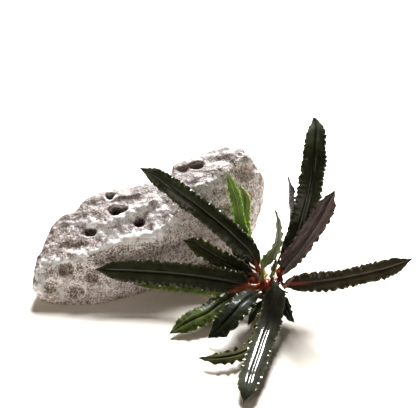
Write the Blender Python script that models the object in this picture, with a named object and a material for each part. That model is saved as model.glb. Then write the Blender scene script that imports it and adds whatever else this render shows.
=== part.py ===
"""Bucephalandra on a pitted stone, modelled at real size in metres with +Z up.

The origin is in the middle of the flat face that the stone rests on.
+X runs along the stone to the end where the plant grows, and -Y is the side that the leaves spread to.
Every leaf is one piece with its petiole, and all of them grow from one short creeping rhizome.
"""

import math
from typing import NamedTuple

import bmesh
import bpy
import numpy as np
from mathutils import Vector, noise

# Places and sizes below are in millimetres.
MM = 0.001

# The stone is two rough blocks grown together, each given by its corners.
LEFT_BLOCK = (
    (-48, -24, -3), (-40, -30, -3), (-24, -31, -3), (-6, -23, -3), (10, -16, -3),
    (14, 34, -3), (-12, 31, -3), (-36, 16, -3), (-47, -2, -3),
    (-52.5, -28, 8), (-50, -19, 16.5), (-46.5, -12, 22.5), (-44.5, -5, 26.5),
    (-23, -14, 23), (-4, -13, 29), (8, -13, 31),
    (-39.5, -6, 27.5), (-31.5, -1, 30.5), (-27.5, 4.5, 35), (-19.5, 8, 36), (-6, 8, 34.5),
    (10, 3, 39), (12, 10, 41), (9, 31, 20), (-14, 26, 22),
)
RIGHT_BLOCK = (
    (0, -18, -3), (20, -14, -3), (40.5, -7, -3), (41, 2, -3), (40, 18, -3),
    (39, 31, -3), (16, 36, -3), (0, 32, -3),
    (41, -5, 8), (42.6, 5, 13), (45.4, 9, 20), (55, 16, 30), (54.6, 17, 36), (49.8, 15, 40), (48.4, 17, 46),
    (46, 19, 49), (44, 20.5, 51), (35, 22.5, 51.3), (26, 20, 48), (11, 16, 45.5),
    (9, -12, 32), (25, 3, 43), (46, 30, 24), (37, 33, 37), (18, 35, 28),
)
VOXEL = 1.2
STONE_SMOOTHING = 16
STONE_FACES_KEPT = 0.14
GROUND_CUTTER = 200

# Lumps all over the stone, each as a height and a spacing.
BROAD_LUMPS = (0.9, 15)
SMALL_LUMPS = (0.5, 4.5)

# How a pit's or a dish's wall falls away from its rim.
HOLLOW_POWER = 1.3


class Hollow(NamedTuple):
    """A pit or a dish: its middle, its reach along X, Y and Z, and its depth."""

    place: tuple
    reach: tuple
    depth: float


class Ridge(NamedTuple):
    """A raised line through some places, with its half width and its height."""

    places: tuple
    half_width: float
    height: float


HOLLOWS = {
    "round hole": Hollow((-17.4, 4, 35.3), (2.4, 2.4, 2.8), 2.6),
    "back pit": Hollow((-14.8, -3.5, 33.4), (3.6, 3, 3.2), 4.2),
    "back pit tail": Hollow((-11, -3.3, 33.8), (3, 2.2, 2.4), 2.4),
    "valley": Hollow((-9, 0, 35.5), (12, 3.6, 4.5), 2.2),
    "middle pit": Hollow((-3.8, -8.6, 30.8), (3.2, 3.2, 3.2), 4.2),
    "middle dish": Hollow((-2.5, -9.5, 30.6), (9, 8, 8), 1.4),
    "long pit": Hollow((-25.6, -10.5, 26.3), (4.2, 2.6, 2.6), 3.2),
    "brown crease": Hollow((-33, -16, 22.6), (7.5, 3, 3), 1.3),
    "rough hollow": Hollow((-36, -23, 14.8), (5.5, 4, 4), 1.3),
    "left hollow": Hollow((-43, -26.8, 7.8), (4.4, 4.4, 4.4), 1.3),
    "low hollow": Hollow((-32, -27, 5.6), (5.2, 4.4, 4.2), 1.4),
    "front hollow": Hollow((-24.2, -24, 12.2), (4.4, 4.4, 4.4), 1.4),
    "left step": Hollow((-34, 2, 31), (4.5, 5, 4), 1.5),
    "back notch": Hollow((-9, 8.5, 36), (5.5, 6, 4), 2.4),
    "top crevice": Hollow((21.5, 12.8, 46.8), (4.5, 2.6, 2.8), 2.4),
    "crevice tail": Hollow((15.5, 11.8, 45.2), (4.5, 2.6, 2.6), 1.5),
    "shoulder notch": Hollow((49.5, 16, 43.5), (3.5, 4, 3.5), 1.6),
    "top stain": Hollow((33.3, 15, 48.4), (4.5, 3.5, 3.5), 0.9),
    "right dish": Hollow((43, 12.5, 43), (6.5, 5, 5), 1.8),
    "side hollow": Hollow((34.3, 2, 30.5), (5.5, 4, 4.5), 2.2),
}
RIDGES = {
    "front ridge": Ridge(
        ((-44.6, -21.5, 17), (-33.4, -20.5, 18.3), (-21.4, -17.5, 22), (-12.5, -15.8, 25), (-2.7, -15.5, 27),
         (5.7, -14, 28.5)),
        2.4, 1.2,
    ),
    "upper ridge": Ridge(
        ((-25, -8, 29), (-17, -9, 30), (-9.2, -6, 32), (-4, -2, 35.4), (2.3, -0.3, 37)), 2.6, 1.3,
    ),
}

# What all leaves share. A petiole's width is a share of its blade's width, between two limits.
# The powers say how suddenly a blade opens and how late it narrows.
BLADE_THICKNESS = 0.7
PETIOLE_SHARE = 0.22
PETIOLE_LIMITS = (1.1, 2.2)
PETIOLE_FLATNESS = 0.8
TIP_WIDTH = 0.7
RUFFLE_LENGTH = 4.7
RUFFLE_HEIGHT = 0.6
SCALLOP = 0.07
STATIONS_PER_RUFFLE = 2
MARGIN_SHARE = 0.6
OPENING_POWER = 0.8
CLOSING_POWER = 4
THINNING = 1.6

DARK_GREEN = (0.022, 0.034, 0.02, 1)
OLIVE = (0.07, 0.085, 0.025, 1)
BRIGHT_GREEN = (0.07, 0.2, 0.015, 1)
YELLOW_GREEN = (0.14, 0.2, 0.05, 1)
PURPLE_BROWN = (0.09, 0.045, 0.035, 1)
BROWN = (0.1, 0.07, 0.035, 1)
CROWN_RED = (0.25, 0.03, 0.012, 1)
STONE_GREY = (0.42, 0.36, 0.33, 1)
LEAF_ROUGHNESS = 0.25
STEM_ROUGHNESS = 0.35
STONE_ROUGHNESS = 0.9


class Leaf(NamedTuple):
    """One leaf: places along its midrib, the blade's width, and where its upper side faces at each end.

    The petiole, and the stretches over which the blade opens and narrows, are shares of the leaf's length.
    """

    places: tuple
    width: float
    faces: tuple
    colour: tuple
    petiole: float = 0.12
    cup: float = -0.05
    ruffle: float = 1.0
    opens: float = 0.24
    narrows: float = 0.5


TOWARDS_VIEWER = (0, -0.8, 0.6)
LEAVES = {
    "leaf_over_stone": Leaf(
        ((50, -24, 14), (47.4, -20.8, 19.5), (43.8, -19, 23.5), (38.9, -17.2, 28), (33.2, -15, 33),
         (22.5, -9.5, 39.5), (12.4, -3.2, 44), (4.3, 2.8, 47), (-3.8, 7.2, 49)),
        9.6, ((-0.3, -0.6, 0.7), (-0.3, -0.6, 0.8)), DARK_GREEN, petiole=0.05, opens=0.16,
    ),
    "leaf_along_stone": Leaf(
        ((48.5, -31, 11.2), (41, -31, 13), (30, -29, 14), (15, -27, 15), (-5, -25.5, 15.7),
         (-23, -24.8, 16.4)),
        10.8, (TOWARDS_VIEWER, TOWARDS_VIEWER), DARK_GREEN, petiole=0.05, opens=0.16,
    ),
    "leaf_under": Leaf(
        ((48.5, -29.4, 5.3), (40, -26.5, 4.5), (30, -24.5, 5), (14, -23, 6), (3, -23, 7),
         (-6, -25, 7.5)),
        6.5, ((0, -0.5, 0.85), (0, -0.5, 0.85)), BRIGHT_GREEN, petiole=0.2,
    ),
    "leaf_olive": Leaf(
        ((49.4, -26.8, 12.6), (45.5, -25.2, 14.1), (40, -23.9, 16.2), (34, -21.9, 18.8),
         (28, -20.6, 22.2), (22, -20.1, 26.3), (15.6, -20, 29.3)),
        8.4, ((0, -0.7, 0.7), (0.1, -0.6, 0.8)), OLIVE, petiole=0.06, opens=0.2,
    ),
    "leaf_brown": Leaf(
        ((48.8, -23.2, 9.6), (45, -18.9, 14.1), (39.5, -16.6, 19.6), (36.5, -15.2, 24.8),
         (36, -13.4, 28.8)),
        4, ((-0.2, -0.8, 0.5), (0.8, -0.5, 0.3)), BROWN, petiole=0.25, cup=0.5,
    ),
    "leaf_green_tall": Leaf(
        ((51, -22.8, 12.9), (47.2, -14.8, 18), (44.2, -10.4, 22.5), (42, -8, 27.5), (40.6, -6.1, 34),
         (39.7, -4.5, 39.5), (38.1, -2.5, 43.5), (36.6, -0.5, 47.5), (34.7, 1.4, 51)),
        5.2, ((-0.1, -0.9, 0.4), (-0.1, -0.9, 0.4)), BRIGHT_GREEN, petiole=0.3, cup=0.3, narrows=0.35,
    ),
    "leaf_green_short": Leaf(
        ((54.6, -22.6, 13.4), (48.6, -13.4, 16.6), (44.3, -7.6, 20.6), (43.4, -5.3, 24.7),
         (43.3, -2.6, 29.2), (43.7, -0.6, 32.2), (43.8, 1.4, 35.2), (42.8, 3.2, 38.3),
         (41.2, 4.5, 41.3)),
        5.6, ((-0.1, -0.9, 0.4), (-0.1, -0.9, 0.4)), BRIGHT_GREEN, petiole=0.3, cup=0,
    ),
    "leaf_slim_upright": Leaf(
        ((51.3, -29.5, 13.6), (50.8, -28.8, 17), (50.9, -29, 20.5), (52.2, -28.4, 24),
         (54.1, -28.2, 27.5), (55.8, -28.2, 31), (56.6, -27.8, 34.5), (56.8, -27.4, 38),
         (56.8, -26.7, 41.5), (56.6, -26, 45), (56.1, -24.7, 47.2), (55.2, -24.3, 49)),
        6.8, ((0.2, -0.9, 0.3), (0.95, -0.3, 0.1)), YELLOW_GREEN,
        petiole=0.16, cup=0.15, ruffle=0.9, narrows=0.3,
    ),
    "leaf_slim_short": Leaf(
        ((54.6, -29.8, 16.4), (55.3, -30.1, 20.3), (56.1, -30.4, 23.9), (56.6, -30.6, 27.1)),
        2.8, ((0, -0.8, 0.4), (-0.5, -0.6, 0.6)), YELLOW_GREEN, petiole=0.3, cup=0.3, ruffle=0.7,
    ),
    "leaf_edge_on": Leaf(
        ((55.4, -24.6, 13.8), (58.5, -20.2, 18.4), (61.4, -16.6, 23), (62.8, -13, 27.5),
         (63.6, -10.4, 32), (63.5, -9.4, 37), (63, -8.8, 41.5), (62.9, -7.6, 46), (62.5, -6.2, 50),
         (62, -4.3, 53)),
        4.8, ((0.8, -0.5, 0.3), (0.85, -0.5, 0.2)), DARK_GREEN, petiole=0.2, cup=0.6, ruffle=0.8,
    ),
    "leaf_tall": Leaf(
        ((58.4, -26.8, 14.8), (62, -22.8, 20.6), (65, -19.6, 27), (67.8, -16, 33.5), (69.5, -14.1, 41),
         (71, -12.4, 49.5), (72.2, -9.4, 58), (73, -3.7, 65.5), (74, 4.5, 71), (73.2, 11.1, 73.8)),
        10.6, ((0, -0.9, 0.4), (0, -0.8, 0.6)), DARK_GREEN, petiole=0.05, opens=0.16, narrows=0.55,
    ),
    "leaf_purple": Leaf(
        ((58.5, -29.7, 16), (60.3, -27.5, 18.5), (62.7, -26.9, 22.5), (65.3, -26.9, 26.5),
         (67.9, -26.7, 31), (70.4, -26.2, 36), (72.4, -26.1, 40), (74.3, -25.7, 44), (76.2, -24.9, 48),
         (77.5, -24.4, 51.5), (79, -23.5, 54.5), (80.7, -22.3, 57.5)),
        10.8, ((-0.2, 0.9, 0), (-0.3, 0.9, -0.1)), PURPLE_BROWN,
        petiole=0.03, cup=0.05, ruffle=1.2, opens=0.2, narrows=0.55,
    ),
    "leaf_right": Leaf(
        ((59.6, -29.4, 11.6), (63.1, -29.7, 12.1), (67.4, -29.9, 12.6), (72.6, -30.3, 13.4),
         (81.2, -31, 15.2), (89, -31, 17), (97.5, -31, 19.4), (106, -30.4, 21.9), (116, -28.8, 25.7)),
        8.6, ((0, -0.8, 0.6), (0.1, -0.8, 0.6)), BROWN, petiole=0.02, cup=0.05, ruffle=1.2, opens=0.16,
    ),
    "leaf_front": Leaf(
        ((56.5, -32.9, 15), (55.9, -37.7, 14.8), (55, -44.2, 12.4), (53.3, -51.2, 9.2),
         (50.4, -59.3, 7.2), (47.5, -68.8, 5.8), (44.7, -77.4, 4.4), (42.6, -85.2, 2.8),
         (41.2, -91.9, 1)),
        10, ((0, -0.25, 0.95), (0, -0.3, 0.95)), DARK_GREEN,
        petiole=0.03, cup=-0.12, opens=0.12, narrows=0.6,
    ),
    "leaf_front_left": Leaf(
        ((49, -31, 8), (44.2, -29.6, 8), (39.8, -31.6, 7.2), (33.2, -36.1, 6.8), (26.6, -42.1, 5.8),
         (18.8, -46.2, 4.4), (10.2, -50.6, 1.6)),
        9.8, ((-0.2, -0.5, 0.85), (-0.2, -0.4, 0.9)), OLIVE, petiole=0.12,
    ),
    "leaf_front_dark": Leaf(
        ((51.6, -33.4, 9), (45.6, -37.6, 11.4), (42.1, -43, 12.8), (38.8, -47.5, 12.2), (32.9, -53, 8.4),
         (26.9, -54.6, 2.6)),
        10, ((-0.2, -0.5, 0.85), (-0.2, -0.4, 0.9)), DARK_GREEN, petiole=0.1,
    ),
    "leaf_front_low": Leaf(
        ((55.1, -29.5, 8), (53.1, -36.6, 7), (50.8, -46.2, 5.6), (48.3, -55.7, 4.5), (45.6, -61.9, 4.1),
         (40.4, -66, 4.2), (34, -68, 4.1), (28.7, -68.4, 3.9), (22.6, -67.7, 3.6)),
        6.2, ((-0.3, -0.2, 0.9), (0, -0.3, 0.9)), OLIVE, petiole=0.25, ruffle=1.1,
    ),
    "leaf_front_short": Leaf(
        ((52.6, -33, 6.6), (48.9, -37.5, 5.6), (46.6, -42, 4.6), (44.3, -46.9, 3)),
        4.4, ((-0.2, -0.3, 0.9), (-0.2, -0.3, 0.9)), YELLOW_GREEN, petiole=0.2, ruffle=0.6,
    ),
    "leaf_front_right": Leaf(
        ((57, -33.2, 9.4), (58.8, -37, 10.4), (60.3, -40, 9), (62.1, -42.4, 5.6), (64.7, -43.4, 1.4)),
        6.4, ((0.4, -0.6, 0.7), (0.8, -0.6, 0.2)), DARK_GREEN, petiole=0.1, ruffle=0.7,
    ),
}

# The rhizome, from where it lies against the stone's face to its growing end, as places with a radius each.
RHIZOME = (
    ((26, -12.8, 4.8), 1.3), ((32, -11.8, 5.6), 2.1), ((38.5, -12.2, 6.6), 2.5), ((44.5, -18, 7.8), 2.8),
    ((48.6, -24.4, 9.2), 3), ((51.4, -28.4, 10.4), 3.4), ((54.2, -30.2, 11.5), 3.7), ((57, -29.5, 13.2), 3),
    ((58.8, -29, 14.3), 2),
)
RHIZOME_SIDES = 12
RHIZOME_STATIONS = 24
SCARS = (0.98, 1.04)

# How far a petiole's end stays from the stem's skin, so that the two solids touch without running together.
STEM_CLEARANCE = 0.4

SMALL_SCALES = {
    "bract": Leaf(
        ((58.2, -30.6, 9.9), (60.5, -31.6, 9.3), (63.3, -32.6, 9)),
        1.7, (TOWARDS_VIEWER, TOWARDS_VIEWER), CROWN_RED, petiole=0.1, cup=0.2, ruffle=0,
    ),
    "sheath_tip": Leaf(
        ((60, -31.2, 13.2), (62, -32.4, 15.2), (64, -32.3, 17.7), (65.4, -32.2, 21.1)),
        1.3, (TOWARDS_VIEWER, TOWARDS_VIEWER), BROWN, petiole=0.1, cup=0.3, ruffle=0,
    ),
}


def clear_scene():
    for obj in list(bpy.data.objects):
        bpy.data.objects.remove(obj, do_unlink=True)


def material(name, colour, roughness):
    made = bpy.data.materials.new(name)
    made.use_nodes = True
    shader = made.node_tree.nodes["Principled BSDF"]
    shader.inputs["Base Color"].default_value = colour
    shader.inputs["Roughness"].default_value = roughness
    shader.inputs["Metallic"].default_value = 0
    return made


def add_object(name, mesh, surface):
    """A new object of this mesh, with one material."""
    mesh.materials.clear()
    mesh.materials.append(surface)
    obj = bpy.data.objects.new(name, mesh)
    bpy.context.scene.collection.objects.link(obj)
    return obj


def smooth_curve(places, count):
    """Evenly spaced points along a smooth curve through the places."""
    places = np.array(places, float)
    padded = np.vstack([2 * places[0] - places[1], places, 2 * places[-1] - places[-2]])
    steps = np.linspace(0, 1, 24, endpoint=False)[:, None]
    parts = []
    for before, start, end, after in zip(padded, padded[1:], padded[2:], padded[3:]):
        parts.append(
            0.5 * (2 * start + (end - before) * steps
                   + (2 * before - 5 * start + 4 * end - after) * steps**2
                   + (3 * start - before - 3 * end + after) * steps**3)
        )
    dense = np.vstack(parts + [places[-1:]])
    run = np.concatenate([[0], np.cumsum(np.linalg.norm(np.diff(dense, axis=0), axis=1))])
    wanted = np.linspace(0, run[-1], count)
    points = np.column_stack([np.interp(wanted, run, dense[:, axis]) for axis in range(3)])
    return points, run[-1]


def unit(rows):
    return rows / np.linalg.norm(rows, axis=1)[:, None]


def eased(values):
    values = np.clip(values, 0, 1)
    return values * values * (3 - 2 * values)


def blade_shape(share, leaf):
    """How much of the full blade width a leaf has at each share of its length."""
    along = np.clip((share - leaf.petiole) / (1 - leaf.petiole), 0, 1)
    opening = np.sin(0.5 * math.pi * np.clip(along / leaf.opens, 0, 1)) ** OPENING_POWER
    closing = 1 - np.clip((along - leaf.narrows) / (1 - leaf.narrows), 0, 1) ** CLOSING_POWER
    return opening * closing


def petiole_width(leaf):
    return min(max(PETIOLE_SHARE * leaf.width, PETIOLE_LIMITS[0]), PETIOLE_LIMITS[1])


def stem_near(place):
    """The point of the stem's middle line nearest to a place, and the stem's radius there."""
    found = []
    for (start, start_radius), (end, end_radius) in zip(RHIZOME, RHIZOME[1:]):
        start, run = Vector(start), Vector(end) - Vector(start)
        share = max(0, min(1, (place - start).dot(run) / run.length_squared))
        middle = start + run * share
        found.append(((place - middle).length, middle, start_radius + (end_radius - start_radius) * share))
    return min(found)[1:]


def rooted_places(leaf):
    """A leaf's places, the first one moved to where its petiole stands on the stem's skin."""
    first, face = Vector(leaf.places[0]), Vector(leaf.faces[0])
    middle, radius = stem_near(first)
    outward = (first - middle).normalized()
    along = (Vector(leaf.places[1]) - first).normalized()
    side = along.cross(face).normalized()
    over = side.cross(along)
    turned = abs(side.dot(outward)) + PETIOLE_FLATNESS * abs(over.dot(outward))
    reach = radius * max(SCARS) + STEM_CLEARANCE + 0.5 * petiole_width(leaf) * turned
    return (tuple(middle + outward * reach), *leaf.places[1:])


def leaf_rings(leaf):
    """Six points around the leaf at each station: two at each margin, and two at the midrib."""
    places = rooted_places(leaf)
    rough_length = smooth_curve(places, 2)[1]
    ruffles = max(3, round(rough_length * (1 - leaf.petiole) / RUFFLE_LENGTH))
    blade_stations = ruffles * STATIONS_PER_RUFFLE
    count = blade_stations + max(2, round(blade_stations * leaf.petiole))
    spine = smooth_curve(places, count)[0]
    share = np.linspace(0, 1, count)
    along = unit(np.gradient(spine, axis=0))
    turn = eased(share)[:, None]
    faces = (1 - turn) * np.array(leaf.faces[0], float) + turn * np.array(leaf.faces[1], float)
    normal = unit(faces - np.sum(faces * along, axis=1)[:, None] * along)
    side = np.cross(along, normal)

    blade = blade_shape(share, leaf)
    wave = np.where(np.arange(count) % 2 == 0, 1.0, -1.0) * leaf.ruffle * blade
    stalk = petiole_width(leaf)
    half_width = 0.5 * (stalk + (leaf.width - stalk) * blade) * (1 + SCALLOP * wave)
    half_width[-1] = 0.5 * TIP_WIDTH
    stalk_thickness = PETIOLE_FLATNESS * stalk
    half_thick = 0.5 * (stalk_thickness + (BLADE_THICKNESS - stalk_thickness) * eased(blade * THINNING))
    wave = wave * RUFFLE_HEIGHT
    rings = []
    for k in range(count):
        rise = leaf.cup * half_width[k] * blade[k]
        margin = MARGIN_SHARE * half_thick[k]
        right = spine[k] + side[k] * half_width[k] + normal[k] * (rise + wave[k])
        left = spine[k] - side[k] * half_width[k] + normal[k] * (rise - wave[k])
        rings.append([
            right + normal[k] * margin, spine[k] + normal[k] * half_thick[k], left + normal[k] * margin,
            left - normal[k] * margin, spine[k] - normal[k] * half_thick[k], right - normal[k] * margin,
        ])
    return np.array(rings)


def skin(name, rings, base):
    """A closed mesh around rings of points, with both ends capped and its origin at its base.

    Its lower side folds along the same lines as its upper side, so a ruffled blade keeps its thickness.
    """
    count, around = len(rings), len(rings[0])
    points = [tuple((point - base) * MM) for ring in rings for point in ring]
    faces = [tuple(range(around)), tuple((count - 1) * around + j for j in range(around))]
    for i in range(count - 1):
        for j in range(around):
            k = (j + 1) % around
            corners = [i * around + j, i * around + k, (i + 1) * around + k, (i + 1) * around + j]
            if j >= around // 2:
                corners = corners[1:] + corners[:1]
            faces.append((corners[0], corners[1], corners[2]))
            faces.append((corners[2], corners[3], corners[0]))
    mesh = bpy.data.meshes.new(name)
    mesh.from_pydata(points, [], faces)
    shape = bmesh.new()
    shape.from_mesh(mesh)
    bmesh.ops.recalc_face_normals(shape, faces=shape.faces)
    shape.to_mesh(mesh)
    shape.free()
    return mesh


def place_on(obj, base, parent):
    obj.location = Vector(base) * MM
    obj.parent = parent


def make_leaf(name, leaf, plant):
    base = rooted_places(leaf)[0]
    obj = add_object(name, skin(name, leaf_rings(leaf), base), material(name, leaf.colour, LEAF_ROUGHNESS))
    place_on(obj, base, plant)


def make_rhizome(plant):
    """A creeping stem with leaf scars around it, thickest at the crown."""
    count = RHIZOME_STATIONS
    places = np.array([place for place, _ in RHIZOME], float)
    spine = smooth_curve(places, count)[0]
    run = np.concatenate([[0], np.cumsum(np.linalg.norm(np.diff(places, axis=0), axis=1))])
    radii = np.interp(np.linspace(0, run[-1], count), run, [radius for _, radius in RHIZOME])
    along = unit(np.gradient(spine, axis=0))
    across = unit(np.cross(along, (0.3, -0.6, 0.2)))
    over = np.cross(along, across)
    rings = []
    angles = [2 * math.pi * j / RHIZOME_SIDES for j in range(RHIZOME_SIDES)]
    for k in range(count):
        radius = radii[k] * SCARS[k % 2]
        rings.append([spine[k] + radius * (math.cos(a) * across[k] + math.sin(a) * over[k]) for a in angles])
    base = RHIZOME[0][0]
    surface = material("rhizome", CROWN_RED, STEM_ROUGHNESS)
    obj = add_object("rhizome", skin("rhizome", np.array(rings), base), surface)
    place_on(obj, base, plant)


def hull(corners):
    """The closed block whose corners these are."""
    shape = bmesh.new()
    for corner in corners:
        shape.verts.new(Vector(corner) * MM)
    done = bmesh.ops.convex_hull(shape, input=shape.verts)
    spare = set(done["geom_interior"] + done["geom_unused"])
    inside = [item for item in spare if isinstance(item, bmesh.types.BMVert)]
    bmesh.ops.delete(shape, geom=inside, context="VERTS")
    bmesh.ops.recalc_face_normals(shape, faces=shape.faces)
    return shape


def evaluated_mesh(obj):
    graph = bpy.context.evaluated_depsgraph_get()
    return bpy.data.meshes.new_from_object(obj.evaluated_get(graph))


def distance_to_line(point, places):
    """The distance from a point to the line through some places."""
    nearest = 1e9
    for start, end in zip(places, places[1:]):
        start, end = Vector(start), Vector(end)
        run = end - start
        share = max(0, min(1, (point - start).dot(run) / run.length_squared))
        nearest = min(nearest, (start + run * share - point).length)
    return nearest


def stone_relief(point):
    """How far the stone's surface stands out from its blocks at a point, in millimetres."""
    height = BROAD_LUMPS[0] * noise.fractal(point / BROAD_LUMPS[1], 1, 2, 3)
    height += SMALL_LUMPS[0] * noise.noise(point / SMALL_LUMPS[1])
    for hollow in HOLLOWS.values():
        away = [(p - c) / r for p, c, r in zip(point, hollow.place, hollow.reach)]
        nearness = 1 - sum(a * a for a in away)
        if nearness > 0:
            height -= hollow.depth * nearness**HOLLOW_POWER
    for ridge in RIDGES.values():
        away = distance_to_line(point, ridge.places) / ridge.half_width
        height += ridge.height * math.exp(-away * away)
    return height


def joined_blocks():
    """Both rough blocks as one mesh, still running through each other."""
    blocks = bpy.data.meshes.new("stone blocks")
    joined = bmesh.new()
    for corners in (LEFT_BLOCK, RIGHT_BLOCK):
        block = hull(corners)
        block.to_mesh(blocks)
        block.free()
        joined.from_mesh(blocks)
    joined.to_mesh(blocks)
    joined.free()
    return blocks


def make_ground_cutter():
    """A block that takes off all of the stone below its resting face."""
    size = GROUND_CUTTER * MM
    bpy.ops.mesh.primitive_cube_add(size=size, location=(0, 0, -size / 2))
    cutter = bpy.context.object
    cutter.name = "ground cutter"
    cutter.hide_render = True
    cutter.display_type = "WIRE"
    return cutter


def make_stone():
    """The blocks melted into one skin, worn smooth, given their pits and ridges, and cut flat underneath."""
    surface = material("stone", STONE_GREY, STONE_ROUGHNESS)
    rough = add_object("stone rough", joined_blocks(), surface)
    remesh = rough.modifiers.new("one skin", "REMESH")
    remesh.mode = "VOXEL"
    remesh.voxel_size = VOXEL * MM
    smooth = rough.modifiers.new("worn edges", "SMOOTH")
    smooth.factor = 0.5
    smooth.iterations = STONE_SMOOTHING
    mesh = evaluated_mesh(rough)
    bpy.data.objects.remove(rough, do_unlink=True)

    moved = [vertex.co + vertex.normal * (stone_relief(vertex.co / MM) * MM) for vertex in mesh.vertices]
    for vertex, place in zip(mesh.vertices, moved):
        vertex.co = place
    stone = add_object("stone", mesh, surface)
    fewer = stone.modifiers.new("fewer faces", "DECIMATE")
    fewer.ratio = STONE_FACES_KEPT

    cut = stone.modifiers.new("flat resting face", "BOOLEAN")
    cut.operation = "DIFFERENCE"
    cut.object = make_ground_cutter()


def main():
    clear_scene()
    make_stone()
    plant = bpy.data.objects.new("plant", None)
    bpy.context.scene.collection.objects.link(plant)
    make_rhizome(plant)
    for name, leaf in {**LEAVES, **SMALL_SCALES}.items():
        make_leaf(name, leaf, plant)


main()
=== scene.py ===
"""The looks of the bucephalandra on its pitted stone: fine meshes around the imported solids."""

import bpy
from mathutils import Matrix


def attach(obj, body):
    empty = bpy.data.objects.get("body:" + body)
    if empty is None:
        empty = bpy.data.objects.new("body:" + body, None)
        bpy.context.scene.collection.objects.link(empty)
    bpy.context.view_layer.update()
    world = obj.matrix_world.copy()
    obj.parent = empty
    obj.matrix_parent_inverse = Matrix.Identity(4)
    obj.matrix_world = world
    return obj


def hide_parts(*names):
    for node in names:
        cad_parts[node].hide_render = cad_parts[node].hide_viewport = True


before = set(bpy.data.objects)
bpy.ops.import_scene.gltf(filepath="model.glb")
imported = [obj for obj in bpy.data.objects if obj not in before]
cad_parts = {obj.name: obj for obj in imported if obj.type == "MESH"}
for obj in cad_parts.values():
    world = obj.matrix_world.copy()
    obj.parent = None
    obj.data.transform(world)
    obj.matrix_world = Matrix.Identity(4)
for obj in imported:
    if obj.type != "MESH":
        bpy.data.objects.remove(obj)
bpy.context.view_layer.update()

import math
from typing import NamedTuple

import bmesh
import bpy
import numpy as np
from mathutils import Vector, noise

# Places and sizes are in millimetres, except where a name says otherwise. The colours of the
# stone, the leaves and the rhizome are in thousandths.
MM = 0.001

# The camera, and the point that it looks at.
CAMERA_TARGET = (27, 0, 34)
CAMERA_DISTANCE = 520
CAMERA_ELEVATION = math.radians(36)
CAMERA_LENS = 100
CLIP_START_METRES = 0.01

# The tint of the light in the shadows, and its strength all around.
WARM = (1, 0.86, 0.72)
WORLD_STRENGTH = 0.1

# Soft boxes: direction, distance and width in metres, power and colour.
LAMPS = {
    "key": ((0.05, 0.73, 0.68), 0.8, 0.35, 31, (1, 1, 1)),
    "fill": ((-0.6, -0.8, 0.7), 1.2, 0.5, 1.9, WARM),
}

# The floor, just under the object.
FLOOR_SIZE_METRES = 6
FLOOR_GAP = 0.1
FLOOR_COLOUR = (0.9, 0.86, 0.79)

# The brightest colour that a real surface has.
PAPER_WHITE = (0.85, 0.85, 0.85)

# How finely a curve is followed between two of its places.
CURVE_STEPS = 24

# The stone's two rough blocks, given by their corners, as in the solid.
LEFT_BLOCK = (
    (-48, -24, -3), (-40, -30, -3), (-24, -31, -3), (-6, -23, -3), (10, -16, -3),
    (14, 34, -3), (-12, 31, -3), (-36, 16, -3), (-47, -2, -3),
    (-52.5, -28, 8), (-50, -19, 16.5), (-46.5, -12, 22.5), (-44.5, -5, 26.5),
    (-23, -14, 23), (-4, -13, 29), (8, -13, 31),
    (-39.5, -6, 27.5), (-31.5, -1, 30.5), (-27.5, 4.5, 35), (-19.5, 8, 36), (-6, 8, 34.5),
    (10, 3, 39), (12, 10, 41), (9, 31, 20), (-14, 26, 22),
)
RIGHT_BLOCK = (
    (0, -18, -3), (20, -14, -3), (40.5, -7, -3), (41, 2, -3), (40, 18, -3),
    (39, 31, -3), (16, 36, -3), (0, 32, -3),
    (41, -5, 8), (42.6, 5, 13), (45.4, 9, 20), (55, 16, 30), (54.6, 17, 36), (49.8, 15, 40),
    (48.4, 17, 46),
    (46, 19, 49), (44, 20.5, 51), (35, 22.5, 51.3), (26, 20, 48), (11, 16, 45.5),
    (9, -12, 32), (25, 3, 43), (46, 30, 24), (37, 33, 37), (18, 35, 28),
)
VOXEL = 1.2
STONE_SMOOTHING = 16


class Lumps(NamedTuple):
    """Lumps of noise: height, distance apart and octaves."""

    height: float
    spacing: float
    octaves: int = 1


BROAD_LUMPS = Lumps(0.9, 15, 3)
SMALL_LUMPS = Lumps(0.5, 4.5)
HOLE_EDGE_LUMPS = (Lumps(0.3, 2.8, 2), Lumps(0.1, 1.1, 2))

# Fine lumps: spacing, octaves, height on any stone, and more on crusted and on grainy stone.
GRAINS = ((2.3, 3, 0.3, 0.25, 0.3), (0.95, 2, 0.1, 0, 0.2))

# How a hollow curves, where its hole starts, how wide the hole's wall is, and how much painted
# shade darkens it at any depth and for each millimetre of it.
HOLLOW_CURVE = 1.3
HOLE_STARTS_AT = 0.2
HOLE_WALL = 0.55
HOLE_PAINTED_SHADE = 0.3
HOLE_PAINTED_SHADE_PER_MM = 0.5

# The relief is what stands out from heights averaged over this many rounds.
RELIEF_ROUNDS = 14


class Hollow(NamedTuple):
    """A pit or a dish: middle, reach along X, Y and Z, depth, and how much deeper its hole is."""

    place: tuple
    reach: tuple
    depth: float
    hole: float = 0.0


class Line(NamedTuple):
    """A raised or coloured line: half width, height or strength, and places."""

    half_width: float
    strength: float
    places: tuple


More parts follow.
